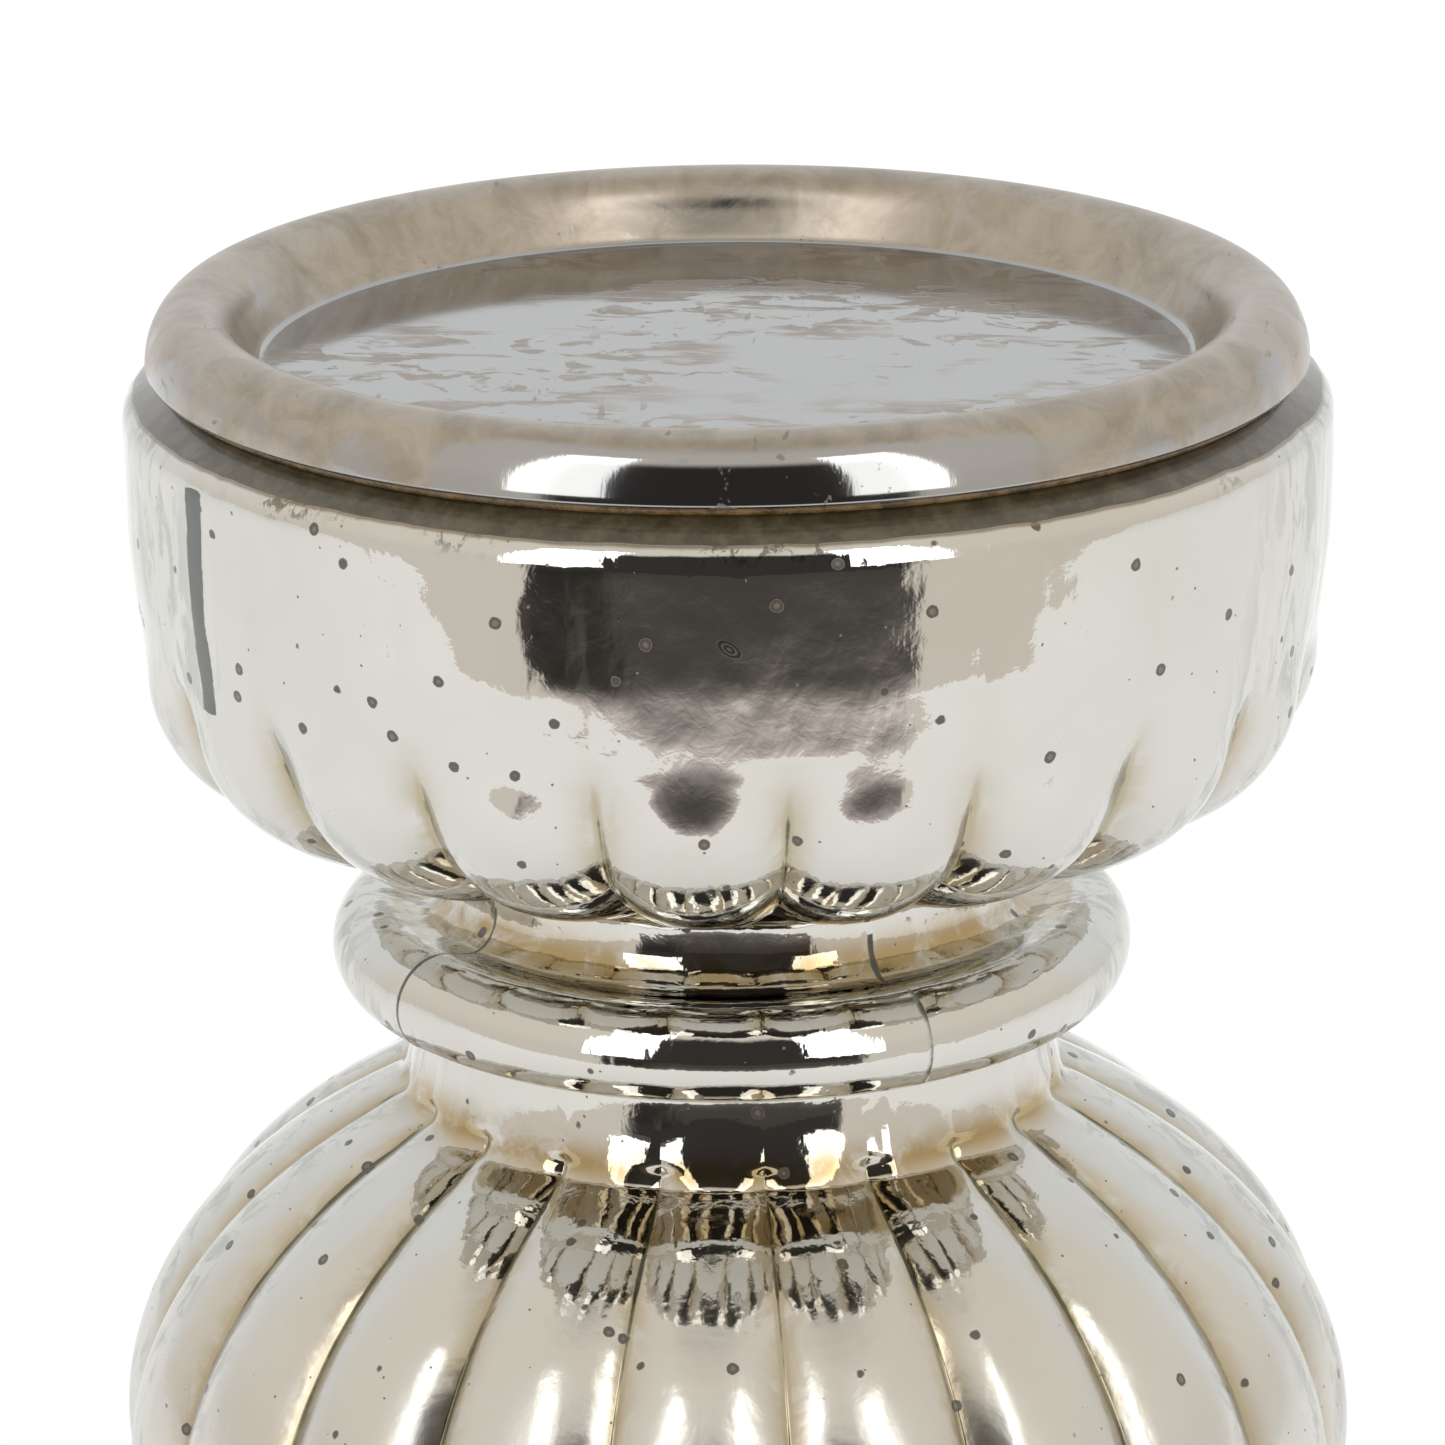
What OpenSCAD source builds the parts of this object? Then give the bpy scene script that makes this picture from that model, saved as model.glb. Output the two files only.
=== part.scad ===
/* [Candle pan] */
// Outside diameter of the pan's rolled rim
rim_d = 96; // [90:1:104]
// Half the width of the hollow roll, measured across it
roll_w = 4; // [3.6:0.1:4.4]
// Height of the roll above the rim's lower edge
roll_h = 5.2; // [4.6:0.1:5.8]
// Thickness of the spun sheet
sheet = 0.9; // [0.7:0.1:1.1]
// Drop from the rim's lower edge to the well's floor
well_drop = 0.5; // [0.3:0.1:1]

/* [Cup] */
// Widest diameter of the cup
cup_d = 100.4; // [98:0.2:104]
// Height of the cup, from its mouth to its underside
cup_h = 38.4; // [36:0.2:40]
// Height of the rounded, lobed underside
cup_round_h = 13.4; // [12:0.1:15]
// Depth of the grooves between the lobes under the cup
cup_groove = 4.2; // [3:0.1:5]

/* [Necks and rings] */
// Diameter of the collar between the cup and the upper ring
collar_d = 48; // [46:1:50]
// Diameter of the neck above the melon
neck_d = 54; // [52:1:56]
// Outside diameter of the upper ring
ring_d = 67.8; // [66:0.2:70]
// Radius of the upper ring's round section
ring_r = 4.2; // [3.6:0.1:4.6]
// Diameter of the neck below the melon
low_neck_d = 50; // [48:1:52]
// Outside diameter of the lower ring
low_ring_d = 61; // [59:0.5:63]
// Radius of the lower ring's round section
low_ring_r = 3.2; // [2.8:0.1:3.6]

/* [Melon] */
// Widest diameter of the melon-shaped middle
melon_d = 107; // [102:0.2:110]
// Height of the whole ellipse that the melon is cut from
melon_h = 74; // [71:0.2:77]
// Depth of the grooves between the melon's lobes
melon_groove = 2.2; // [1.5:0.1:3]
// Number of lobes round the glass
lobes = 20; // [16:1:20]

/* [Foot] */
// Diameter of the foot where it stands
foot_d = 94; // [88:1:98]
// Height of the domed, lobed foot
foot_h = 24; // [22:0.5:27]
// Depth of the grooves between the foot's lobes
foot_groove = 2.2; // [1.5:0.1:3]
// Thickness of the felt pad
felt_t = 1.2; // [1:0.1:2]

/* [Glass wall] */
// Thickness of the blown glass, measured behind the grooves
wall = 2.4; // [2:0.1:2.8]
// Thickness of the silvering and its backing lacquer
lining_t = 0.3; // [0.2:0.05:0.5]

/* [Hidden] */

// Heights above the table: the rim's lower edge, then downwards from it
seal_t = 0.9;
rim_z = 164;
mouth_z = rim_z - seal_t;
cup_base_z = mouth_z - cup_h;
collar_h = 11.6;
// How far the neck is tucked up into the ring
neck_tuck = 0.8;
ring_z = cup_base_z - collar_h;
neck_top_z = ring_z - ring_r + neck_tuck;
neck_h = 8.6;
neck_r = neck_d / 2;
melon_r = melon_d / 2;
melon_z = neck_top_z - neck_h - melon_rise(neck_r);
low_neck_r = low_neck_d / 2;
low_ring_z = felt_t + foot_h + low_ring_r + 0.6;

// Radii that several sections share
rim_r = rim_d / 2;
roll_c = rim_r - roll_w;
mouth_r = rim_r - 1.1;
cup_r = cup_d / 2;
collar_r = collar_d / 2;
foot_r = foot_d / 2;
ring_c = ring_d / 2 - ring_r;
low_ring_c = low_ring_d / 2 - low_ring_r;

// The cup's underside is a quarter of an ellipse: its middle, its reach and its top
round_c = collar_r + 3.7;
round_reach = cup_r - 1.9 - round_c;
round_top_z = cup_base_z + cup_round_h;

// The silvering stops this far below the mouth
clear_lip = 1.7;
// Gap that keeps the lining off the faceted inside of the glass
lining_gap = 0.12;

// Height above the melon's middle at which its surface has radius r
function melon_rise(r) = melon_h / 2 * sqrt(1 - pow(r / (melon_d / 2), 2));

// Points along an ellipse from angle a0 to a1, each [radius, height, groove depth]
function arc(cr, cz, a, b, a0, a1, n, g0 = 0, g1 = 0) =
    [for (i = [0 : n]) let (t = i / n, w = a0 + (a1 - a0) * t)
        [cr + a * cos(w), cz + b * sin(w), g0 + (g1 - g0) * t]];

// The outside of the glass, from the middle of its base up to its mouth
base_edge = 2;
foot_reach = foot_r - low_neck_r - 1.7;
melon_top = acos(neck_r / melon_r);
melon_low = acos(low_neck_r / melon_r);
collar_cove = 3.2;
outside = concat(
    [[0, felt_t, 0]],
    arc(foot_r - base_edge, felt_t + base_edge, base_edge, base_edge, -90, 0, 2),
    arc(low_neck_r + 1.5, felt_t + 4, foot_reach, foot_h - 4, 4, 88, 5, foot_groove, 0.6),
    arc(low_ring_c, low_ring_z, low_ring_r, low_ring_r, -65, 80, 3),
    [[low_neck_r, low_ring_z + low_ring_r + 0.8, 0]],
    arc(0, melon_z, melon_r, melon_h / 2, -melon_low, -melon_low + 12, 1, 0.9, melon_groove),
    arc(0, melon_z, melon_r, melon_h / 2, -melon_low + 22, melon_top - 12, 7, melon_groove, melon_groove),
    arc(0, melon_z, melon_r, melon_h / 2, melon_top - 4, melon_top, 1, 1.6, 0.9),
    [[neck_r - 0.2, neck_top_z - 0.88 * neck_h, 0], [neck_r, neck_top_z - 0.8, 0]],
    arc(ring_c, ring_z, ring_r, ring_r, -68, 95, 5),
    arc(collar_r + collar_cove, ring_z + ring_r + 2.2, collar_cove, collar_cove, 250, 180, 2),
    [[collar_r + 0.1, cup_base_z - 2.2, 0]],
    arc(round_c, round_top_z, round_reach, cup_round_h, -86, 0, 6, cup_groove, 1.3),
    [[cup_r - 1.4, round_top_z + 3.4, 0.4],
     [cup_r - 0.9, mouth_z - 18, 0],
     [cup_r, mouth_z - 8.7, 0],
     [cup_r - 0.7, mouth_z - 3.1, 0],
     [rim_r + 0.5, mouth_z - 1.7, 0],
     [mouth_r + 0.5, mouth_z - 0.3, 0],
     [mouth_r, mouth_z, 0]]);

// The inside of the glass, from its mouth down to the middle of its floor
inside = [
    [mouth_r - wall, mouth_z, 0],
    [mouth_r - wall, mouth_z - clear_lip, 0],
    [cup_r - wall - 0.2, mouth_z - 7, 0],
    [cup_r - wall - 2, round_top_z + 2, 0],
    [cup_r - wall - 9.6, cup_base_z + cup_round_h / 2, 0],
    [collar_r + 4.5, cup_base_z + wall + 4.6, 0],
    [collar_r - wall, cup_base_z - 1, 0],
    [collar_r - wall, ring_z + ring_r + 1, 0],
    [ring_c - wall, ring_z, 0],
    [neck_r - wall - 0.4, neck_top_z - 4, 0],
    [neck_r - wall, melon_z + melon_rise(neck_r) - wall, 0],
    [melon_r * 0.72, melon_z + melon_rise(melon_r * 0.8) - 1, 0],
    [melon_r * 0.905, melon_z + melon_h * 0.12, 0],
    [melon_r * 0.905, melon_z - melon_h * 0.12, 0],
    [melon_r * 0.72, melon_z - melon_rise(melon_r * 0.8) + 1, 0],
    [low_neck_r - wall, melon_z - melon_rise(low_neck_r) + wall, 0],
    [low_neck_r - wall, low_ring_z - low_ring_r, 0],
    [foot_r - wall - 8, felt_t + foot_h * 0.45, 0],
    [foot_r - wall - 4, felt_t + wall + 2, 0],
    [foot_r - wall - 6, felt_t + wall, 0],
    [0, felt_t + wall, 0]];

// Places across one lobe, from groove to groove, and how full the lobe is there
across = [0, 0.15, 0.5, 0.85];
function fullness(u) = 1 - pow(abs(2 * u - 1), 3);

// A closed solid that turns the outline round Z, with grooves between its lobes
module lobed_shell(outline) {
    rings = [for (i = [1 : len(outline) - 2]) outline[i]];
    steps = [for (k = [0 : lobes - 1], u = across) [(k + u) * 360 / lobes - 90, fullness(u)]];
    n = len(steps);
    m = len(rings);
    function next(j) = (j + 1) % n;
    points = concat(
        [for (p = rings, s = steps)
            let (r = p[0] - p[2] * (1 - s[1])) [r * cos(s[0]), r * sin(s[0]), p[1]]],
        [[0, 0, outline[0][1]], [0, 0, outline[len(outline) - 1][1]]]);
    faces = concat(
        [for (i = [0 : m - 2], j = [0 : n - 1]) [i * n + j, (i + 1) * n + j, (i + 1) * n + next(j)]],
        [for (i = [0 : m - 2], j = [0 : n - 1]) [i * n + j, (i + 1) * n + next(j), i * n + next(j)]],
        [for (j = [0 : n - 1]) [m * n, j, next(j)]],
        [for (j = [0 : n - 1]) [m * n + 1, (m - 1) * n + next(j), (m - 1) * n + j]]);
    polyhedron(points, faces, convexity = 8);
}

// One blown shell: foot, lower ring, melon, neck, upper ring, collar and cup
module glass_body() {
    color("#d8d5c8") lobed_shell(concat(outside, inside));
}

// Silvering with its backing lacquer, on the inside of the glass below the clear lip
module silver_lining() {
    outer = [for (i = [1 : len(inside) - 2]) inside[i] - [lining_gap, 0, 0]];
    inner = [for (p = outer) p - [lining_t, 0, 0]];
    last = len(outer) - 1;
    floor_z = felt_t + wall + lining_gap;
    color("#b9b6ac") rotate_extrude($fn = 100)
        polygon(concat(
            [for (i = [0 : last]) [outer[i][0], max(outer[i][1], floor_z)]],
            [[0, floor_z], [0, floor_z + lining_t]],
            [for (i = [last : -1 : 0]) [inner[i][0], max(inner[i][1], floor_z + lining_t)]]));
}

// Section of the roll above the rim's lower edge, drawn in by inset from its outer surface
module half_roll(inset) {
    polygon([for (p = arc(roll_c, rim_z, roll_w - inset, roll_h - inset, 0, 180, 16)) [p[0], p[1]]]);
}

// Spun metal pan: a rolled rim round a shallow well with a flat floor
module candle_pan() {
    wall_r = roll_c - roll_w;
    floor_z = rim_z - well_drop;
    fillet = 0.8;
    overlap = 0.1;
    color("#b5aca2") rotate_extrude($fn = 120) {
        difference() {
            half_roll(0);
            half_roll(sheet);
        }
        translate([wall_r, floor_z - sheet]) square([sheet, well_drop + sheet + overlap]);
        translate([0, floor_z - sheet]) square([wall_r + sheet / 2, sheet]);
        difference() {
            translate([wall_r - fillet, floor_z - sheet / 2]) square([fillet + sheet / 2, fillet + sheet / 2]);
            translate([wall_r - fillet, floor_z + fillet]) circle(fillet);
        }
    }
}

// Amber bead of adhesive that runs up inside the roll and beds it on the glass mouth
module rim_seal() {
    bead_in = mouth_r - wall - 0.3;
    bead_out = mouth_r + 0.3;
    clearance = 0.03;
    rise = 1.5;
    overlap = 0.1;
    color("#5c3d18") rotate_extrude($fn = 120) {
        translate([bead_in, mouth_z]) square([bead_out - bead_in, seal_t]);
        translate([bead_in, rim_z - overlap]) square([mouth_r - bead_in, 2 * overlap]);
        intersection() {
            half_roll(sheet + clearance);
            translate([bead_in, rim_z]) square([mouth_r - bead_in, rise]);
        }
    }
}

// Felt disc glued under the foot
module felt_pad() {
    color("#3d3a36") cylinder(r = foot_r - 5, h = felt_t, $fn = 120);
}

glass_body();
silver_lining();
candle_pan();
rim_seal();
felt_pad();
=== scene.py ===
"""Silvered-glass candle holder: the looks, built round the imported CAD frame. Metres throughout."""
import math
import bpy
import numpy as np
from mathutils import Matrix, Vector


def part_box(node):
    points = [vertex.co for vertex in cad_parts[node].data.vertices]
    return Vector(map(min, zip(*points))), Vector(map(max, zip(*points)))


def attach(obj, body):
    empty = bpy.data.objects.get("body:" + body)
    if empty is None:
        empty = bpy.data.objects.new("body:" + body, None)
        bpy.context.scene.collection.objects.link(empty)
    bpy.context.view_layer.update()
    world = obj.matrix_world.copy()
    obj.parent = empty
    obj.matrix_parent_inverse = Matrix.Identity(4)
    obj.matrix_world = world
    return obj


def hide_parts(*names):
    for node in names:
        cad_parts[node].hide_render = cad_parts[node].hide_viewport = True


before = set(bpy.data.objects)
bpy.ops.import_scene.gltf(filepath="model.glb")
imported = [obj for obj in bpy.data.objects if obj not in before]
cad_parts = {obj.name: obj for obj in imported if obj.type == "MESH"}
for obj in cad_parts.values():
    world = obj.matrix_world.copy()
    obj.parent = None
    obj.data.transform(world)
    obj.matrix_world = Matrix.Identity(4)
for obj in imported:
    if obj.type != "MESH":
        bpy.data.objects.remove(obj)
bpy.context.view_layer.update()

MM = 0.001
LOBES = 20

# Heights and radii, in millimetres, as the CAD model has them
PAN_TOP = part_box("candle_pan")[1].z / MM
RIM_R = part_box("candle_pan")[1].x / MM
FELT_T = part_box("felt_pad")[1].z / MM
FELT_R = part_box("felt_pad")[1].x / MM
MOUTH_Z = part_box("glass_body")[1].z / MM
ROLL_W, ROLL_H, SHEET = 4.0, 5.2, 0.9
RIM_Z = PAN_TOP - ROLL_H
WELL_R = 38.8
ROLL_C = RIM_R - ROLL_W
MOUTH_R = RIM_R - 1.1
CUP_R, CUP_H, CUP_ROUND = 50.2, 38.4, 13.3
COLLAR_R, RING_C, RING_R = 24.0, 29.8, 4.2
NECK_R, MELON_R, MELON_B = 27.0, 52.85, 37.0
LOW_NECK_R, LOW_RING_C, LOW_RING_R = 25.0, 27.3, 3.2
FOOT_R, FOOT_H = 47.0, 24.0
WALL = 2.4
CUP_BASE = MOUTH_Z - CUP_H
ROUND_C = COLLAR_R + 3.7
ROUND_TOP = CUP_BASE + CUP_ROUND
RING_Z = CUP_BASE - 11.6
NECK_Z = RING_Z - RING_R + 0.8
MELON_Z = NECK_Z - 8.6 - MELON_B * math.sqrt(1 - (NECK_R / MELON_R) ** 2)
LOW_RING_Z = FELT_T + FOOT_H + LOW_RING_R + 0.6
SILVER_Z = RIM_Z - 2.65          # the silvering ends here, below the clear lip
BUBBLE_AZIMUTH, BUBBLE_Z = 3.6, RIM_Z - 10.6
SEAMS = (-51.0, 31.7, 124.0, 216.0)   # azimuths of the mould's joints, from -Y towards +X


# The view's azimuth from -Y, in degrees, and how far in front the table ends, in metres
VIEW_AZIMUTH = 3.7
TABLE_EDGE = 0.27

# The second swelling of each lobe under the cup: how far out, and its half height and half width
SWELL, SWELL_HIGH, SWELL_WIDE = 0.34, 2.6, 4.4
# The painted reflection streak down the cup, dark where a dark gap is reflected: its azimuth, half width, and
# where it starts and ends below the mouth
REFLECTION_STREAK_AZIMUTH, REFLECTION_STREAK_WIDE, REFLECTION_STREAK_FROM, REFLECTION_STREAK_TO = -54.5, 1.6, 3.4, 22


# ---------------------------------------------------------------- shapes

def arc(cr, cz, a, b, start, end, count):
    """Points [radius, height] along an ellipse, angles in degrees."""
    angles = np.radians(np.linspace(start, end, count))
    return [(cr + a * math.cos(w), cz + b * math.sin(w)) for w in angles]


def even(points, step):
    """The outline through points, with a point every step."""
    p = np.array(points, float)
    length = np.concatenate([[0], np.cumsum(np.hypot(*np.diff(p, axis=0).T))])
    s = np.linspace(0, length[-1], max(2, int(length[-1] / step)))
    return np.stack([np.interp(s, length, p[:, 0]), np.interp(s, length, p[:, 1])], 1)


def soften(p, passes):
    """The outline with its corners rounded, its two ends kept."""
    p = p.copy()
    for _ in range(passes):
        p[1:-1] = 0.25 * p[:-2] + 0.5 * p[1:-1] + 0.25 * p[2:]
    return p


def lattice_noise(p, size, seed):
    """Smooth noise from -1 to 1 at the points p, with features about size across."""
    q = p / size
    cell = np.floor(q).astype(np.int64)
    f = q - cell
    f = f * f * (3 - 2 * f)
    total = np.zeros(len(p))
    for corner in np.ndindex(2, 2, 2):
        c = cell + corner
        h = (c[:, 0] * 73856093) ^ (c[:, 1] * 19349663) ^ (c[:, 2] * 83492791) ^ (seed * 2654435761)
        h = (h ^ (h >> 13)) * 1274126177 & 0x7FFFFFFF
        value = (h ^ (h >> 16)) % 65536 / 32767.5 - 1
        weight = np.prod([f[:, k] if corner[k] else 1 - f[:, k] for k in range(3)], axis=0)
        total += value * weight
    return total


def solid_of_rings(name, rings, values=None):
    """A closed mesh from rings of points, (ring, point, xyz) in millimetres, with a cap at each end."""
    m, n, _ = rings.shape
    verts = np.concatenate([rings.reshape(-1, 3), rings[:1].mean(1), rings[-1:].mean(1)]) * MM
    i, j = np.meshgrid(np.arange(m - 1), np.arange(n), indexing="ij")
    k = (j + 1) % n
    quads = np.stack([i * n + j, i * n + k, (i + 1) * n + k, (i + 1) * n + j], -1).reshape(-1, 4)
    j = np.arange(n)
    k = (j + 1) % n
    first = np.stack([np.full(n, m * n), k, j], 1)
    last = np.stack([np.full(n, m * n + 1), (m - 1) * n + j, (m - 1) * n + k], 1)
    mesh = bpy.data.meshes.new(name)
    mesh.from_pydata(verts.tolist(), [], quads.tolist() + first.tolist() + last.tolist())
    mesh.shade_smooth()
    for key, field in (values or {}).items():
        layer = mesh.attributes.new(key, "FLOAT", "POINT")
        layer.data.foreach_set("value", np.concatenate([field.ravel(), [0, 0]]).astype(np.float32))
    piece = bpy.data.objects.new(name, mesh)
    bpy.context.scene.collection.objects.link(piece)
    return piece


def turned(outline, azimuths):
    """The outline turned round Z: an array of rings, in millimetres."""
    r, z = outline[:, :1], outline[:, 1:]
    x = r * np.sin(azimuths)
    y = -r * np.cos(azimuths)
    return np.stack([x, y, np.broadcast_to(z, x.shape)], -1)


def azimuth_gap(azimuths, centre):
    """How far each azimuth is from centre, in radians, from -pi to pi."""
    return (azimuths - math.radians(centre) + math.pi) % (2 * math.pi) - math.pi


# ---------------------------------------------------------------- materials

class Paint:
    """One Principled material and the nodes that feed it. Lengths in the nodes are metres."""

    def __init__(self, name):
        self.material = bpy.data.materials.new(name)
        self.material.use_nodes = True
        self.tree = self.material.node_tree
        self.shader = self.tree.nodes["Principled BSDF"]
        self.place = self.node("ShaderNodeTexCoord").outputs["Object"]

    def node(self, kind, **settings):
        made = self.tree.nodes.new(kind)
        for key, value in settings.items():
            setattr(made, key, value)
        return made

    def feed(self, socket, value):
        if isinstance(value, bpy.types.NodeSocket):
            self.tree.links.new(value, socket)
        elif isinstance(value, tuple) and len(value) == 3 and socket.type == "RGBA":
            socket.default_value = (*value, 1)
        else:
            socket.default_value = value

    def set(self, **inputs):
        """Feeds the shader's sockets: base_color becomes Base Color, and so on."""
        names = {s.name.lower().replace(" ", "_"): s for s in self.shader.inputs}
        for key, value in inputs.items():
            self.feed(names[key], value)

    def math(self, operation, a, b=0.0, clamp=False):
        made = self.node("ShaderNodeMath", operation=operation, use_clamp=clamp)
        self.feed(made.inputs[0], a)
        self.feed(made.inputs[1], b)
        return made.outputs[0]

    def mask(self, value, low, high):
        """0 below low, 1 above high, smooth between. low may be the larger."""
        made = self.node("ShaderNodeMapRange", interpolation_type="SMOOTHSTEP")
        self.feed(made.inputs["Value"], value)
        made.inputs["From Min"].default_value = min(low, high)
        made.inputs["From Max"].default_value = max(low, high)
        if low > high:
            made.inputs["To Min"].default_value = 1
            made.inputs["To Max"].default_value = 0
        return made.outputs["Result"]

    def stretched(self, scale, turn=0.0, place=None):
        made = self.node("ShaderNodeMapping")
        self.feed(made.inputs["Vector"], place or self.place)
        made.inputs["Scale"].default_value = scale
        made.inputs["Rotation"].default_value = (0, 0, math.radians(turn))
        return made.outputs["Vector"]

    def noise(self, size, detail=3.0, rough=0.5, warp=0.0, place=None):
        made = self.node("ShaderNodeTexNoise")
        self.feed(made.inputs["Vector"], place or self.place)
        made.inputs["Scale"].default_value = 1 / size
        made.inputs["Detail"].default_value = detail
        made.inputs["Roughness"].default_value = rough
        made.inputs["Distortion"].default_value = warp
        return made.outputs["Fac"]

    def cells(self, size, place=None):
        made = self.node("ShaderNodeTexVoronoi", feature="F1")
        self.feed(made.inputs["Vector"], place or self.place)
        made.inputs["Scale"].default_value = 1 / size
        return made.outputs["Distance"], made.outputs["Color"]

    def value(self, name):
        return self.node("ShaderNodeAttribute", attribute_name=name).outputs["Fac"]

    def part(self, vector, axis):
        made = self.node("ShaderNodeSeparateXYZ")
        self.feed(made.inputs[0], vector)
        return made.outputs[axis]

    def blend(self, amount, under, over):
        """under where amount is 0, over where it is 1. Colours as (r, g, b), or numbers."""
        colour = isinstance(over, tuple) or getattr(over, "type", "") == "RGBA"
        made = self.node("ShaderNodeMix", data_type="RGBA" if colour else "FLOAT")
        ends = [s for s in made.inputs if s.enabled and s.name in "AB"]
        self.feed([s for s in made.inputs if s.enabled and s.name == "Factor"][0], amount)
        self.feed(ends[0], under)
        self.feed(ends[1], over)
        return [s for s in made.outputs if s.enabled][0]

    def bump(self, height, depth, normal=None):
        made = self.node("ShaderNodeBump")
        made.inputs["Distance"].default_value = depth
        made.inputs["Strength"].default_value = 1
        self.feed(made.inputs["Height"], height)
        if normal is not None:
            self.feed(made.inputs["Normal"], normal)
        return made.outputs["Normal"]


def spots(p, size, radius, keep):
    """Round spots where the silver has gone: (the whole spot, its dark edge), each 0 to 1."""
    wobble = p.node("ShaderNodeVectorMath", operation="ADD")
    p.feed(wobble.inputs[0], p.place)
    soft = p.node("ShaderNodeTexNoise")
    p.feed(soft.inputs["Vector"], p.place)
    soft.inputs["Scale"].default_value = 1200
    shift = p.node("ShaderNodeVectorMath", operation="SCALE")
    p.feed(shift.inputs[0], soft.outputs["Color"])
    shift.inputs["Scale"].default_value = 0.0003
    p.feed(wobble.inputs[1], shift.outputs[0])
    distance, colour = p.cells(size, wobble.outputs[0])
    kept = p.mask(p.part(colour, 0), 1 - keep, 1 - keep + 0.01)
    whole = p.math("MULTIPLY", p.mask(distance, radius / size, 0.8 * radius / size), kept)
    core = p.math("MULTIPLY", p.mask(distance, 0.55 * radius / size, 0.35 * radius / size), kept)
    return whole, p.math("SUBTRACT", whole, core, clamp=True)


def silvered_glass():
    p = Paint("silvered_glass")
    height = p.part(p.place, 2)
    groove, recess, seam, painted_reflection_streak = (p.value(k) for k in ("groove", "recess", "seam", "painted_reflection_streak"))
    fine = p.noise(0.0035, 4, 0.65)
    patchy = p.noise(0.017, 3, 0.6)

    # Silver: pale and warm, yellower in broad clouds, in recesses and along the grooves
    cloud = p.mask(p.noise(0.03, 4, 0.6), 0.35, 0.75)
    silver = p.blend(cloud, (0.60, 0.59, 0.555), (0.575, 0.555, 0.505))
    stain = p.math("MULTIPLY", recess, p.mask(p.noise(0.006, 5, 0.65, 0.6), 0.30, 0.56))
    silver = p.blend(stain, silver, (0.38, 0.28, 0.13))
    halo = p.mask(p.math("ADD", groove, p.math("MULTIPLY", fine, 0.5)), 0.45, 1.0)
    silver = p.blend(p.math("MULTIPLY", halo, 0.75), silver, (0.42, 0.37, 0.25))
    breaks = p.math("ADD", p.math("MULTIPLY", fine, 0.35), p.math("MULTIPLY", patchy, 0.9))
    line = p.math("ADD", groove, breaks)
    dark_line = p.mask(line, 1.46, 1.66)
    silver = p.blend(dark_line, silver, (0.10, 0.095, 0.06))

    # Seen at a slant the thick glass is greyer and greener
    slant = p.node("ShaderNodeLayerWeight")
    slant.inputs["Blend"].default_value = 0.5
    slanting = p.mask(slant.outputs["Facing"], 0.62, 0.95)
    silver = p.blend(p.math("MULTIPLY", slanting, 0.85), silver, (0.36, 0.37, 0.325))
    mottled = p.mask(p.noise(0.0026, 5, 0.7, 0.8, place=p.stretched((1, 1, 0.3))), 0.47, 0.58)
    mottled = p.math("MULTIPLY", mottled, p.mask(slant.outputs["Facing"], 0.50, 0.72))
    silver = p.blend(p.math("MULTIPLY", mottled, 0.5), silver, (0.20, 0.21, 0.175))

    # Spots and pinholes where the mirror has gone, and one painted reflection: a dark streak down the cup
    spot, edge = spots(p, 0.0044, 0.00058, 0.78)
    pin, _ = spots(p, 0.0017, 0.00014, 0.35)
    silver = p.blend(spot, silver, (0.13, 0.11, 0.085))
    silver = p.blend(p.math("MULTIPLY", edge, 0.8), silver, (0.05, 0.042, 0.03))
    silver = p.blend(pin, silver, (0.14, 0.12, 0.08))
    ragged_reflection_streak = p.noise(0.0030, 5, 0.7, 0.5, place=p.stretched((1, 1, 0.35)))
    # Painted reflection: this dark streak stands in for a reflected dark gap, and takes the silver off there
    run = p.mask(p.math("ADD", painted_reflection_streak, p.math("MULTIPLY", ragged_reflection_streak, 0.9)), 0.98, 1.10)
    silver = p.blend(run, silver, (0.045, 0.052, 0.042))
    crack = p.mask(p.math("ADD", seam, p.math("MULTIPLY", fine, 0.7)), 0.98, 1.20)
    silver = p.blend(crack, silver, (0.06, 0.06, 0.038))
    silver_loss_and_painted_streak = p.math("MAXIMUM", p.math("MAXIMUM", spot, pin), p.math("MAXIMUM", run, crack))

    # Corroded fringe at the top of the silvering, then clear glass, coloured with a painted shade of the dark
    # gap behind it
    ragged = p.math("ADD", height, p.math("MULTIPLY", p.math("SUBTRACT", p.noise(0.004), 0.5), 0.0004))
    fringe = p.math("MULTIPLY", p.mask(ragged, (SILVER_Z - 2.0) * MM, (SILVER_Z - 0.3) * MM),
                    p.mask(p.noise(0.0011, 4, 0.7, 0.8), 0.50, 0.58))
    fringe = p.math("MULTIPLY", fringe, p.mask(patchy, 0.48, 0.58))
    silver = p.blend(p.math("MULTIPLY", fringe, 0.8), silver, (0.10, 0.10, 0.07))
    bare = p.mask(ragged, (SILVER_Z - 0.06) * MM, (SILVER_Z + 0.06) * MM)
    brink = p.math("MULTIPLY", p.mask(ragged, (SILVER_Z - 0.3) * MM, (SILVER_Z - 0.05) * MM),
                   p.math("SUBTRACT", 1.0, bare))
    silver = p.blend(p.math("MULTIPLY", brink, 0.8), silver, (0.20, 0.14, 0.07))
    # Painted shade: the clear lip shows the dark gap behind it, tinted brown
    lip_painted_shade = p.blend(p.mask(p.noise(0.002, 4, 0.7), 0.35, 0.7), (0.040, 0.030, 0.014), (0.085, 0.066, 0.036))
    colour = p.blend(bare, silver, lip_painted_shade)
    unsilvered_and_painted_streak = p.math("MAXIMUM", silver_loss_and_painted_streak, bare)
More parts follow.
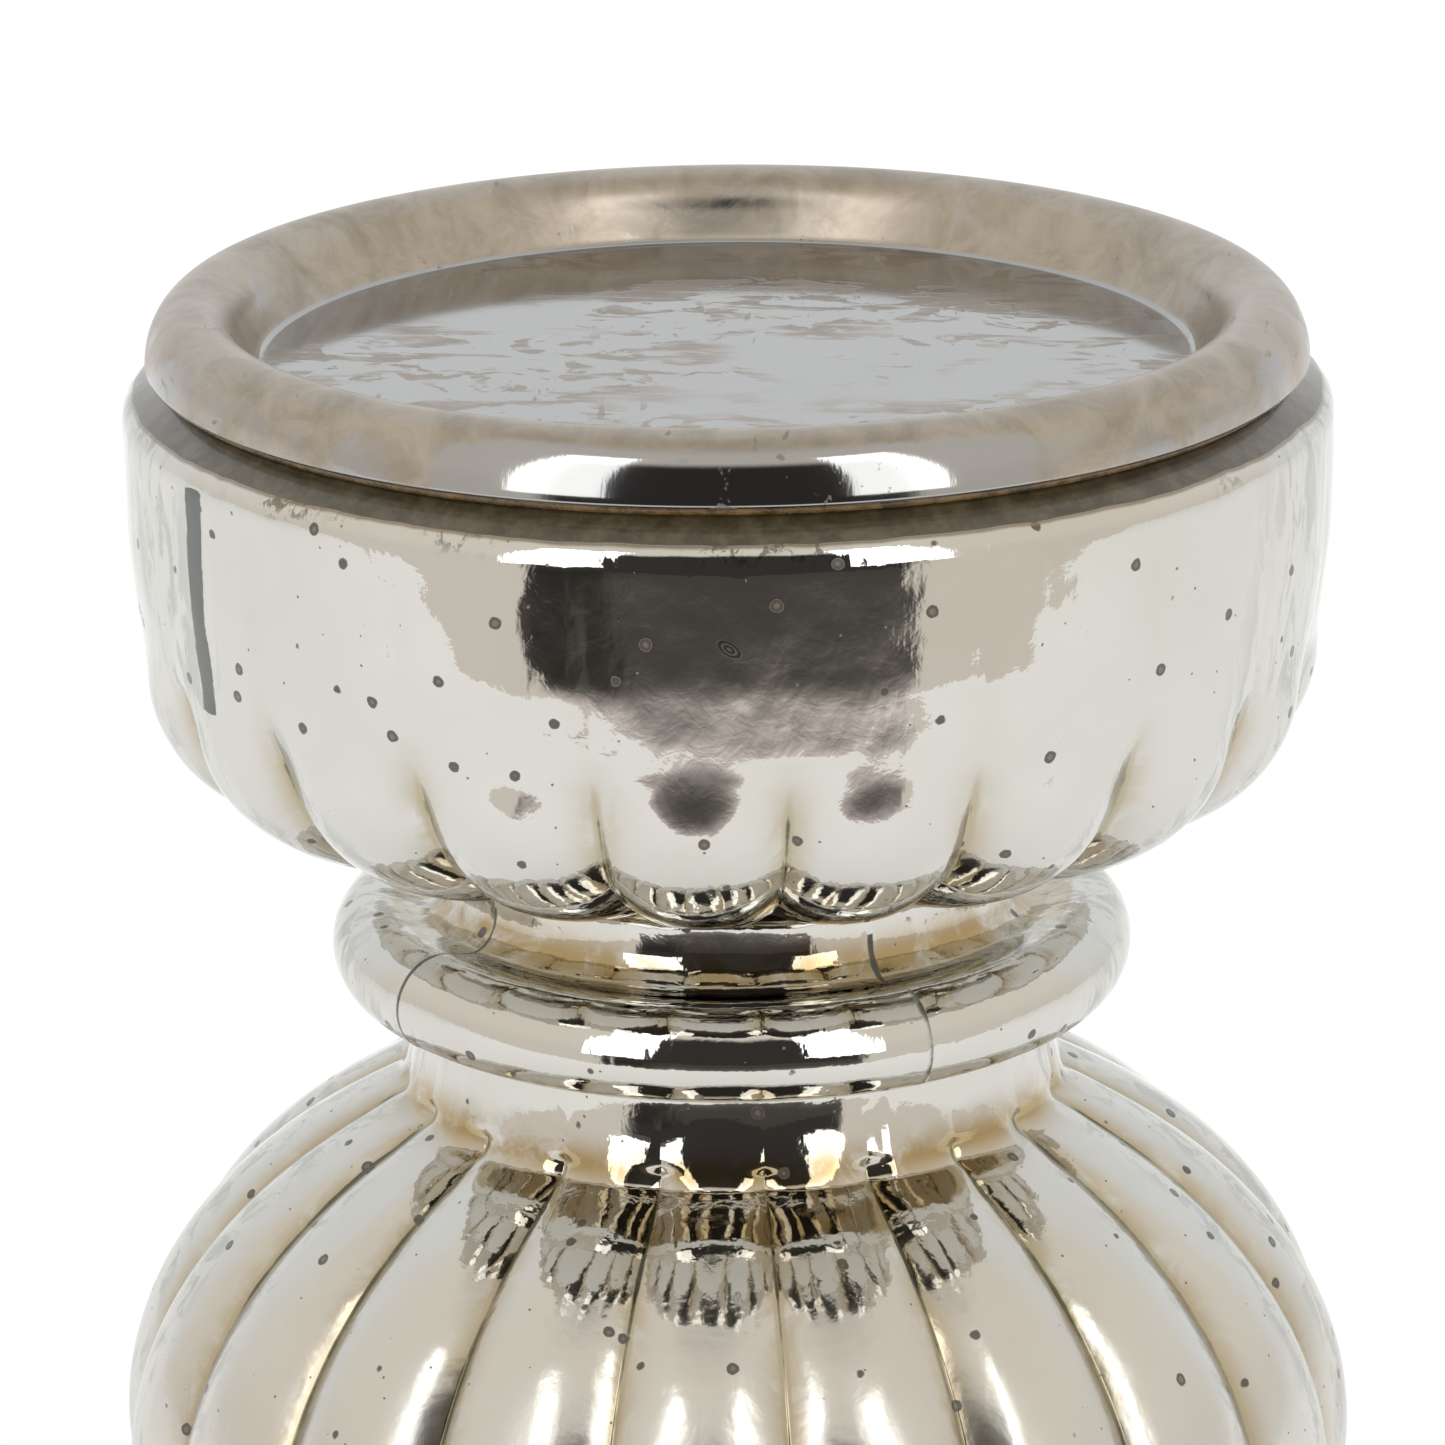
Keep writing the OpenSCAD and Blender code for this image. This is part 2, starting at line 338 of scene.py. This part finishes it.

    # One gas bubble in the wall of the cup, drawn as painted shade inside and painted highlight rings on its
    # wall
    near = p.node("ShaderNodeMapping", vector_type="TEXTURE")
    p.feed(near.inputs["Vector"], p.place)
    w = math.radians(BUBBLE_AZIMUTH)
    near.inputs["Location"].default_value = (CUP_R * MM * math.sin(w), -CUP_R * MM * math.cos(w),
                                             BUBBLE_Z * MM)
    near.inputs["Rotation"].default_value = (0, math.radians(35), w)
    near.inputs["Scale"].default_value = (0.0012, 0.01, 0.0006)
    length = p.node("ShaderNodeVectorMath", operation="LENGTH")
    p.feed(length.inputs[0], near.outputs[0])
    rings = p.math("MULTIPLY", length.outputs["Value"], 15.0)
    inside = p.mask(length.outputs["Value"], 1.0, 0.92)
    bubble_painted_highlight = p.math("MULTIPLY", p.mask(p.math("SINE", rings), 0.1, 0.7), inside)
    # Painted shade inside the bubble, then painted highlight rings on its wall
    colour = p.blend(p.math("MULTIPLY", inside, 0.6), colour, (0.10, 0.095, 0.09))
    colour = p.blend(bubble_painted_highlight, colour, (0.90, 0.90, 0.88))

    # The mirror's own unevenness, under a smooth outer surface
    wave = p.noise(0.012, 2, 0.5)
    lean = p.noise(0.007, 3, 0.55, 0.5, place=p.stretched((1, 1, 0.55)))
    crinkle = p.noise(0.0022, 3, 0.6, 0.4)
    drawn = p.noise(0.0016, 3, 0.6, place=p.stretched((1, 1, 0.16)))
    relief = p.math("ADD", p.math("MULTIPLY", wave, 0.34), p.math("MULTIPLY", crinkle, 0.020))
    relief = p.math("ADD", relief, p.math("MULTIPLY", lean, 0.11))
    relief = p.math("ADD", relief, p.math("MULTIPLY", drawn, 0.012))
    worn = p.mask(height, (MELON_Z + 29) * MM, (MELON_Z + 16) * MM)
    smooth = p.blend(worn, p.blend(cloud, 0.035, 0.06), 0.24)
    p.set(base_color=colour, metallic=p.math("SUBTRACT", 1.0, p.math("MULTIPLY", unsilvered_and_painted_streak, 0.92)),
          roughness=p.blend(unsilvered_and_painted_streak, smooth, 0.28), ior=1.5,
          normal=p.bump(relief, 0.0012), coat_weight=0.5, coat_roughness=0.012, coat_ior=1.45)
    return p.material


def pan_metal():
    p = Paint("pan_metal")
    x, y = (p.part(p.place, k) for k in range(2))
    radius = p.math("SQRT", p.math("ADD", p.math("MULTIPLY", x, x), p.math("MULTIPLY", y, y)))
    tarnish = p.value("tarnish")

    # Brown film on the roll, rubbed bright in patches; smears and finger marks on the floor
    rubbed = p.math("SUBTRACT", p.noise(0.011, 5, 0.66, 0.5), 0.5)
    film = p.mask(p.math("ADD", tarnish, p.math("MULTIPLY", rubbed, 1.5)), 0.30, 0.62)
    swept = p.mask(p.noise(0.0062, 4, 0.55, 0.9, place=p.stretched((0.5, 1.5, 1), 35)), 0.535, 0.57)
    dabbed = p.mask(p.noise(0.0055, 5, 0.62, 0.7), 0.56, 0.585)
    where = p.mask(p.noise(0.021, 2, 0.5), 0.40, 0.52)
    smear = p.math("MULTIPLY", p.math("MAXIMUM", swept, dabbed), where)
    feathered = p.mask(p.noise(0.0016, 3, 0.7, place=p.stretched((0.3, 1.2, 1), 35)), 0.30, 0.55)
    on_floor = p.mask(radius, WELL_R * MM, (WELL_R - 0.8) * MM)
    smear = p.math("MULTIPLY", p.math("MULTIPLY", smear, feathered), on_floor)
    film = p.math("MAXIMUM", film, p.math("MULTIPLY", smear, 0.8))
    clean = p.blend(p.noise(0.02, 3), (0.40, 0.40, 0.40), (0.365, 0.36, 0.35))
    brown = p.blend(p.mask(p.noise(0.005, 5, 0.7, 0.6), 0.3, 0.75), (0.44, 0.39, 0.33), (0.31, 0.27, 0.22))
    colour = p.blend(film, clean, brown)
    colour = p.blend(p.math("MULTIPLY", smear, 0.85), colour, (0.25, 0.21, 0.17))

    # Short dark scratches and small black nicks
    scratch = p.mask(p.noise(0.0012, 3, 0.5, place=p.stretched((1.0, 0.16, 1), 38)), 0.655, 0.70)
    scratch = p.math("MULTIPLY", scratch, p.mask(p.noise(0.012), 0.50, 0.62))
    nick = p.mask(p.noise(0.0026, 4, 0.65, 0.6), 0.70, 0.73)
    mark = p.math("MAXIMUM", scratch, p.math("MULTIPLY", nick, p.mask(p.noise(0.016), 0.45, 0.55)))
    colour = p.blend(p.math("MULTIPLY", mark, 0.75), colour, (0.12, 0.10, 0.08))
    grain = p.noise(0.00035, 2, 0.5, place=p.stretched((1, 1, 0.1)))
    relief = p.math("ADD", p.math("MULTIPLY", film, -0.01), p.math("MULTIPLY", grain, 0.005))
    relief = p.math("ADD", relief, p.math("MULTIPLY", p.noise(0.02, 2), 0.10))
    rough = p.blend(film, p.blend(p.noise(0.004, 4), 0.05, 0.10), 0.30)
    p.set(base_color=colour, metallic=p.math("SUBTRACT", 1.0, p.math("MULTIPLY", mark, 0.6)),
          roughness=rough, normal=p.bump(relief, 0.0006))
    return p.material


def amber_adhesive():
    p = Paint("amber_adhesive")
    tone = p.mask(p.noise(0.0025, 5, 0.7, 0.5), 0.3, 0.7)
    p.set(base_color=p.blend(tone, (0.035, 0.022, 0.008), (0.20, 0.115, 0.035)),
          roughness=p.blend(tone, 0.15, 0.4), ior=1.5, coat_weight=0.4,
          normal=p.bump(p.noise(0.0012, 3), 0.0002))
    return p.material


def felt():
    p = Paint("felt")
    fibre = p.noise(0.0006, 5, 0.75, 1.0)
    p.set(base_color=p.blend(p.mask(fibre, 0.3, 0.7), (0.035, 0.033, 0.03), (0.10, 0.095, 0.085)),
          roughness=0.95, sheen_weight=0.5, sheen_roughness=0.5, normal=p.bump(fibre, 0.0004))
    return p.material


def backing_lacquer():
    p = Paint("backing_lacquer")
    run = p.mask(p.noise(0.008, 4, 0.6, place=p.stretched((1, 1, 0.2))), 0.3, 0.7)
    p.set(base_color=p.blend(run, (0.42, 0.40, 0.36), (0.55, 0.53, 0.49)), metallic=0.3,
          roughness=p.blend(run, 0.45, 0.6), normal=p.bump(p.noise(0.002, 3), 0.0001))
    return p.material


# ---------------------------------------------------------------- pieces

def glass_outline():
    """The outside of the glass from the middle of its base up to its mouth, [radius, height]."""
    top = math.degrees(math.acos((NECK_R + 1.4) / MELON_R))
    low = math.degrees(math.acos(LOW_NECK_R / MELON_R))
    base = even([(6, FELT_T), (FOOT_R - 2, FELT_T)], 3.0)
    wall = (arc(FOOT_R - 2, FELT_T + 2, 2, 2, -88, 0, 9)
            + arc(LOW_NECK_R + 1.5, FELT_T + 4, FOOT_R - LOW_NECK_R - 1.7, FOOT_H - 4, 4, 88, 40)
            + arc(LOW_RING_C, LOW_RING_Z, LOW_RING_R, LOW_RING_R, -65, 80, 30)
            + [(LOW_NECK_R, LOW_RING_Z + LOW_RING_R + 0.8)]
            + arc(0, MELON_Z, MELON_R, MELON_B, -low, top, 160)
            + [(NECK_R + 0.75, NECK_Z - 6.9), (NECK_R + 0.25, NECK_Z - 5), (NECK_R, NECK_Z - 3),
               (NECK_R, NECK_Z - 0.8)]
            + arc(RING_C, RING_Z, RING_R, RING_R, -68, 95, 40)
            + arc(COLLAR_R + 3.2, RING_Z + RING_R + 2.2, 3.2, 3.2, 250, 180, 14)
            + [(COLLAR_R + 0.1, CUP_BASE - 2.2)]
            + arc(ROUND_C, ROUND_TOP, CUP_R - 1.4 - ROUND_C, CUP_ROUND, -88, 0, 50)
            + [(CUP_R - 1.15, RIM_Z - 24), (CUP_R - 0.6, RIM_Z - 19.2), (CUP_R - 0.1, RIM_Z - 14.4),
               (CUP_R, RIM_Z - 9.6), (CUP_R, RIM_Z - 4.2), (CUP_R - 0.1, RIM_Z - 3.4),
               (CUP_R - 0.9, RIM_Z - 2.6), (CUP_R - 2.2, RIM_Z - 1.8), (MOUTH_R, MOUTH_Z)])
    wall = soften(even(wall, 0.42), 5)
    inside = even([(MOUTH_R - WALL, MOUTH_Z), (MOUTH_R - WALL, MOUTH_Z - 6),
                   (COLLAR_R + 5, CUP_BASE + WALL + 5), (COLLAR_R - WALL, CUP_BASE - 1),
                   (COLLAR_R - WALL, NECK_Z - 8), (MELON_R * 0.9, MELON_Z),
                   (LOW_NECK_R - WALL, LOW_RING_Z + 6), (LOW_NECK_R - WALL, LOW_RING_Z - 3),
                   (FOOT_R - WALL - 7, FELT_T + WALL), (6, FELT_T + WALL)], 4.0)
    return np.concatenate([base, wall, inside]), len(base), len(base) + len(wall)


def groove_depth(z):
    """How deep the grooves between the lobes are at height z."""
    steps = [(FELT_T, 0.0), (FELT_T + 3.5, 0.0), (FELT_T + 6, 2.2), (FELT_T + FOOT_H - 4, 1.3),
             (FELT_T + FOOT_H, 0.0), (LOW_RING_Z + LOW_RING_R + 0.6, 0.0),
             (MELON_Z - 33.6, 0.5), (MELON_Z - 29, 2.0), (MELON_Z - 15, 2.2), (MELON_Z + 15, 2.2),
             (MELON_Z + 29, 1.9), (MELON_Z + 32.6, 0.6), (NECK_Z - 7.6, 0.25), (NECK_Z - 3, 0.0),
             (CUP_BASE - 1.2, 0.0), (CUP_BASE + 0.4, 3.6), (CUP_BASE + 3, 4.1), (CUP_BASE + 7, 3.1),
             (ROUND_TOP - 1, 2.0), (ROUND_TOP + 1.8, 1.1), (ROUND_TOP + 4, 0.4),
             (ROUND_TOP + 6, 0.16), (RIM_Z - 9, 0.10), (RIM_Z - 4.5, 0.0)]
    return np.interp(z, *np.array(steps).T)


def make_glass():
    outline, wall_from, wall_to = glass_outline()
    per_lobe = 28
    u = np.arange(per_lobe) / per_lobe
    u = u - 0.62 * np.sin(2 * math.pi * u) / (2 * math.pi)
    azimuths = ((np.arange(LOBES)[:, None] + u[None, :] - 0.5) * 2 * math.pi / LOBES).ravel()
    u = np.tile(u, LOBES)
    r, z = outline.T
    depth = groove_depth(z)
    depth[:wall_from] = 0
    depth[wall_to:] = 0
    outside = np.zeros(len(r))
    outside[wall_from:wall_to] = 1

    power = np.where(z > CUP_BASE - 2, 2.3, 2.4)[:, None]
    sunk = np.abs(2 * u[None, :] - 1) ** power
    rings = turned(outline, azimuths)
    flat = rings.reshape(-1, 3)
    uneven = 0.10 * lattice_noise(flat, 22.0, 3) + 0.035 * lattice_noise(flat, 7.0, 5)
    uneven = uneven.reshape(sunk.shape) - 0.14
    inward = depth[:, None] * sunk
    # Each lobe under the cup swells once more near its top
    middle = (np.abs(2 * u - 1) * math.pi * CUP_R / LOBES / SWELL_WIDE) ** 2
    level = ((z - ROUND_TOP - 0.2) / SWELL_HIGH) ** 2
    inward = inward - SWELL * np.exp(-level)[:, None] * np.exp(-middle)[None, :]
    seam = np.zeros_like(sunk)
    for centre in SEAMS:
        gap = azimuth_gap(azimuths, centre)[None, :] * r[:, None]
        seam = np.maximum(seam, np.exp(-(gap / 0.45) ** 2))
    new_r = r[:, None] - inward + outside[:, None] * (uneven + 0.10 * seam)
    rings = np.stack([new_r * np.sin(azimuths), -new_r * np.cos(azimuths),
                      np.broadcast_to(z[:, None], new_r.shape)], -1)

    # Fields for the material: grooves, stained recesses, dark seam lines and one painted dark reflection
    # streak
    edge = np.minimum(u, 1 - u)[None, :] * 2 * math.pi / LOBES * r[:, None]
    deep = np.clip(depth / 1.6, 0, 1)[:, None]
    groove = deep * np.exp(-(edge / 0.55) ** 2)
    recess = np.zeros_like(z)
    for height, spread, radius in ((RING_Z + RING_R + 0.6, 1.9, COLLAR_R + 3),
                                   (NECK_Z - 0.2, 0.9, NECK_R + 2),
                                   (MELON_Z + 32.5, 1.6, NECK_R + 3), (MELON_Z - 33, 1.6, LOW_NECK_R + 3),
                                   (LOW_RING_Z + LOW_RING_R + 0.4, 1.0, LOW_NECK_R + 3),
                                   (LOW_RING_Z - LOW_RING_R, 1.0, LOW_NECK_R + 3)):
        recess = np.maximum(recess, np.exp(-((z - height) / spread) ** 2) * (r < radius + 2))
    recess = np.maximum(np.broadcast_to(recess[:, None], sunk.shape), 0.6 * deep * np.exp(-(edge / 1.6) ** 2))
    on_ring = ((z > NECK_Z - 1) & (z < RING_Z + RING_R + 3))[:, None]
    painted_reflection_streak = (np.exp(-(azimuth_gap(azimuths, REFLECTION_STREAK_AZIMUTH)[None, :] * r[:, None] / REFLECTION_STREAK_WIDE) ** 2)
              * ((z > MOUTH_Z - REFLECTION_STREAK_TO) & (z < MOUTH_Z - REFLECTION_STREAK_FROM))[:, None])
    fields = {"groove": groove, "recess": recess * outside[:, None], "seam": seam * on_ring, "painted_reflection_streak": painted_reflection_streak}
    piece = solid_of_rings("glass_shell", rings, fields)
    piece.data.materials.append(silvered_glass())
    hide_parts("glass_body")
    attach(piece, "root")


def make_pan():
    floor_z = RIM_Z - 0.5
    top = [(1.0, floor_z), (WELL_R - 0.3, floor_z), (WELL_R + 0.05, floor_z + 0.15)]
    top = top + arc(ROLL_C, RIM_Z, ROLL_W, ROLL_H, 153, 0, 60)
    under = (arc(ROLL_C, RIM_Z, ROLL_W - SHEET, ROLL_H - SHEET, 0, 150, 30)
             + [(WELL_R + SHEET, floor_z - SHEET), (1.0, floor_z - SHEET)])
    top = soften(even(top, 0.28), 2)
    outline = np.concatenate([top, even(under, 0.8)])
    azimuths = np.linspace(0, 2 * math.pi, 360, endpoint=False)
    rings = turned(outline, azimuths)
    flat = rings.reshape(-1, 3)
    dent = (lattice_noise(flat, 18.0, 11) - 1).reshape(rings.shape[:2]) * 0.02
    rings[..., 2] += dent
    r, z = outline.T
    on_roll = (r > WELL_R)[:, None]
    crown = np.clip((z - RIM_Z - 3.2) / 1.6, 0, 1)[:, None]
    # Film all over the roll, but for the lower face on the camera's side, which is left clean where the soft
    # boxes are reflected
    aside = np.abs((np.degrees(azimuths) - VIEW_AZIMUTH + 180) % 360 - 180)[None, :]
    outer = (r > ROLL_C)[:, None]
    # The clean face is placed by the camera's azimuth, where the soft box reflections show
    camera_side_clean = outer * (1 - crown) * np.clip((30 - aside) / 8, 0, 1)
    inner_slope = (r < ROLL_C - 1.2)[:, None] * 0.7
    tarnish = on_roll * np.maximum(0.55 + 0.45 * crown - camera_side_clean, inner_slope)
    piece = solid_of_rings("candle_pan_spun", rings, {"tarnish": tarnish})
    piece.data.materials.append(pan_metal())
    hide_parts("candle_pan")
    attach(piece, "root")


def make_seal():
    inner = MOUTH_R - WALL - 0.3
    outer = MOUTH_R + 0.3
    outline = soften(even([(inner, MOUTH_Z + 0.02), (outer - 0.25, MOUTH_Z + 0.02), (outer, MOUTH_Z + 0.3),
                           (outer, RIM_Z - 0.02), (MOUTH_R - 0.3, RIM_Z + 1.0), (inner, RIM_Z + 1.2),
                           (inner, MOUTH_Z + 0.02)], 0.2), 1)
    azimuths = np.linspace(0, 2 * math.pi, 480, endpoint=False)
    rings = turned(outline, azimuths)
    bead = (lattice_noise(rings.reshape(-1, 3), 1.8, 21) - 1).reshape(rings.shape[:2], order="C") * 0.06
    away = np.clip((outline[:, 0] - (outer - 0.6)) / 0.6, 0, 1)[:, None]
    scale = 1 + away * bead / outer
    rings[..., 0] *= scale
    rings[..., 1] *= scale
    m, n, _ = rings.shape
    mesh = bpy.data.meshes.new("rim_seal_bead")
    i, j = np.meshgrid(np.arange(m - 1), np.arange(n), indexing="ij")
    k = (j + 1) % n
    nxt = (i + 1) % (m - 1)
    quads = np.stack([i * n + j, i * n + k, nxt * n + k, nxt * n + j], -1).reshape(-1, 4)
    mesh.from_pydata((rings[:-1].reshape(-1, 3) * MM).tolist(), [], quads.tolist())
    mesh.shade_smooth()
    piece = bpy.data.objects.new("rim_seal_bead", mesh)
    bpy.context.scene.collection.objects.link(piece)
    piece.data.materials.append(amber_adhesive())
    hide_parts("rim_seal")
    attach(piece, "root")


def make_felt():
    outline = soften(even([(2, 0.0), (FELT_R - 0.3, 0.0), (FELT_R, 0.3), (FELT_R, FELT_T - 0.1),
                           (FELT_R - 0.3, FELT_T), (2, FELT_T)], 0.6), 1)
    azimuths = np.linspace(0, 2 * math.pi, 300, endpoint=False)
    rings = turned(outline, azimuths)
    fuzz = (lattice_noise(rings.reshape(-1, 3), 0.9, 31) - 1).reshape(rings.shape[:2]) * 0.12
    edge = np.clip((outline[:, 0] - (FELT_R - 0.5)) / 0.5, 0, 1)[:, None]
    scale = 1 + edge * fuzz / FELT_R
    rings[..., 0] *= scale
    rings[..., 1] *= scale
    piece = solid_of_rings("felt_disc", rings)
    piece.data.materials.append(felt())
    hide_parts("felt_pad")
    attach(piece, "root")


def finish_lining():
    """The lining's CAD shape is right; it only takes its finish."""
    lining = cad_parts["silver_lining"]
    material = backing_lacquer()
    lining.data.materials.clear()
    lining.data.materials.append(material)


# ---------------------------------------------------------------- studio

def glow(name, verts, faces, colours):
    """A surface with its own light, a colour at each vertex, seen in mirrors only."""
    mesh = bpy.data.meshes.new(name)
    mesh.from_pydata(verts, [], faces)
    layer = mesh.color_attributes.new("glow", "FLOAT_COLOR", "POINT")
    layer.data.foreach_set("color", np.concatenate([colours, np.ones((len(colours), 1))], 1).ravel())
    made = bpy.data.objects.new(name, mesh)
    bpy.context.scene.collection.objects.link(made)
    p = Paint(name)
    seen = p.node("ShaderNodeAttribute", attribute_name="glow").outputs["Color"]
    p.set(base_color=(0, 0, 0), roughness=1.0, specular_ior_level=0.0, emission_color=seen,
          emission_strength=1.0)
    mesh.materials.append(p.material)
    made.visible_camera = False
    made.visible_diffuse = False
    made.visible_shadow = False


def step(value, low, high):
    t = np.clip((value - low) / (high - low), 0, 1)
    return (t * t * (3 - 2 * t))[:, None]


def grid_faces(rows, columns):
    i, j = np.meshgrid(np.arange(rows - 1), np.arange(columns - 1), indexing="ij")
    k = (i * columns + j).ravel()
    return np.stack([k, k + 1, k + columns + 1, k + columns], 1).tolist()


def make_room(yaw):
    """What the mirrors see past the table: pale walls, and a darker room behind the camera."""
    cream, pale = np.array([0.96, 0.91, 0.83]), np.array([0.95, 0.965, 0.98])
    dark, above = np.array([0.05, 0.047, 0.045]), np.array([0.76, 0.71, 0.65])
    wall = np.array([0.89, 0.84, 0.775])

    elevation, azimuth = np.meshgrid(np.linspace(-40, 89, 87), np.linspace(-180, 180, 145), indexing="ij")
    e, a = elevation.ravel(), azimuth.ravel()
    colour = wall + (cream - wall) * step(e, 0, 25)
    colour = colour + (pale - colour) * step(np.abs(a), 105, 135)
    colour = colour + (above - colour) * step(e, 62, 80)
    colour = colour + (dark - colour) * step(-np.abs(a), -37, -34) * step(-e, -50, -40)
    w, t = np.radians(a) + yaw, np.radians(e)
    reach = 5.0
    verts = np.stack([reach * np.cos(t) * np.sin(w), -reach * np.cos(t) * np.cos(w),
                      0.15 + reach * np.sin(t)], 1)
    glow("room", verts.tolist(), grid_faces(87, 145), colour)

    # The studio's floor, one table height down, rosy near the table and dim between the soft boxes
    ahead, across = np.meshgrid(np.linspace(TABLE_EDGE, 4.6, 120), np.linspace(-4.5, 4.5, 181), indexing="ij")
    d, x = ahead.ravel(), across.ravel()
    a = np.degrees(np.arctan2(x, d))
    rosy, gloom = np.array([0.90, 0.825, 0.80]), np.array([0.085, 0.078, 0.07])
    middle = gloom + (rosy - gloom) * np.clip(np.exp((1.44 - d) / 0.30), 0, 1)[:, None]
    middle = middle * (1 - 0.55 * step(-a, 19, 27) * step(d, 1.7, 2.2))
    colour = wall + (middle - wall) * step(-np.abs(a), -37, -34)
    verts = np.stack([x * math.cos(yaw) + d * math.sin(yaw), x * math.sin(yaw) - d * math.cos(yaw),
                      np.full(len(d), -0.75)], 1)
    glow("room_floor", verts.tolist(), grid_faces(120, 181), colour)


def make_studio(view_azimuth):
    yaw = math.radians(view_azimuth)
    corners = [(x, -ahead) for ahead, x in ((-6, -6), (-6, 6), (TABLE_EDGE, 6), (TABLE_EDGE, -6))]
    floor_mesh = bpy.data.meshes.new("floor")
    floor_mesh.from_pydata([(x * math.cos(yaw) - y * math.sin(yaw), x * math.sin(yaw) + y * math.cos(yaw), 0)
                            for x, y in corners], [], [(3, 2, 1, 0)])
    floor = bpy.data.objects.new("floor", floor_mesh)
    bpy.context.scene.collection.objects.link(floor)
    paper = Paint("floor")
    paper.set(base_color=(0.96, 0.96, 0.955), roughness=0.9)
    floor_mesh.materials.append(paper.material)

    world = bpy.data.worlds.new("studio")
    bpy.context.scene.world = world
    world.use_nodes = True
    world.node_tree.nodes["Background"].inputs["Color"].default_value = (1, 1, 1, 1)
    world.node_tree.nodes["Background"].inputs["Strength"].default_value = 1.0
    make_room(yaw)

    # Two tall soft boxes either side of the camera
    for side in (-1, 1):
        light = bpy.data.lights.new("soft_box", "AREA")
        light.shape = "RECTANGLE"
        light.size, light.size_y = 0.38, 1.7
        light.energy = 4.8
        made = bpy.data.objects.new("soft_box", light)
        bpy.context.scene.collection.objects.link(made)
        w = math.radians(side * 32.5) + yaw
        made.location = (1.15 * math.sin(w), -1.15 * math.cos(w), 0.93)
        made.rotation_euler = (math.radians(90), 0, w)
        made.visible_camera = False


def make_camera(azimuth):
    """The close-up: a 179 mm lens, looking down on the cup from 0.58 m away."""
    lens = bpy.data.cameras.new("close_up")
    lens.lens = 179.4
    lens.sensor_width = 36
    lens.clip_start = 0.05
    lens.clip_end = 30
    made = bpy.data.objects.new("close_up", lens)
    bpy.context.scene.collection.objects.link(made)
    distance, rise, aside = 12.0 * RIM_R * MM, 3.148 * RIM_R * MM, -0.65 * MM
    look_down, lean = math.radians(17.67), math.radians(0.5)
    w = math.radians(azimuth)
    turn = (Matrix.Rotation(w, 4, "Z") @ Matrix.Rotation(math.pi / 2 - look_down, 4, "X")
            @ Matrix.Rotation(-lean, 4, "Z"))
    place = Matrix.Translation((distance * math.sin(w) + aside * math.cos(w),
                                -distance * math.cos(w) + aside * math.sin(w), RIM_Z * MM + rise))
    made.matrix_world = place @ turn
    bpy.context.scene.camera = made


make_camera(VIEW_AZIMUTH)
make_studio(VIEW_AZIMUTH)
make_glass()
make_pan()
make_seal()
make_felt()
finish_lining()
bpy.context.scene.view_settings.view_transform = "Standard"
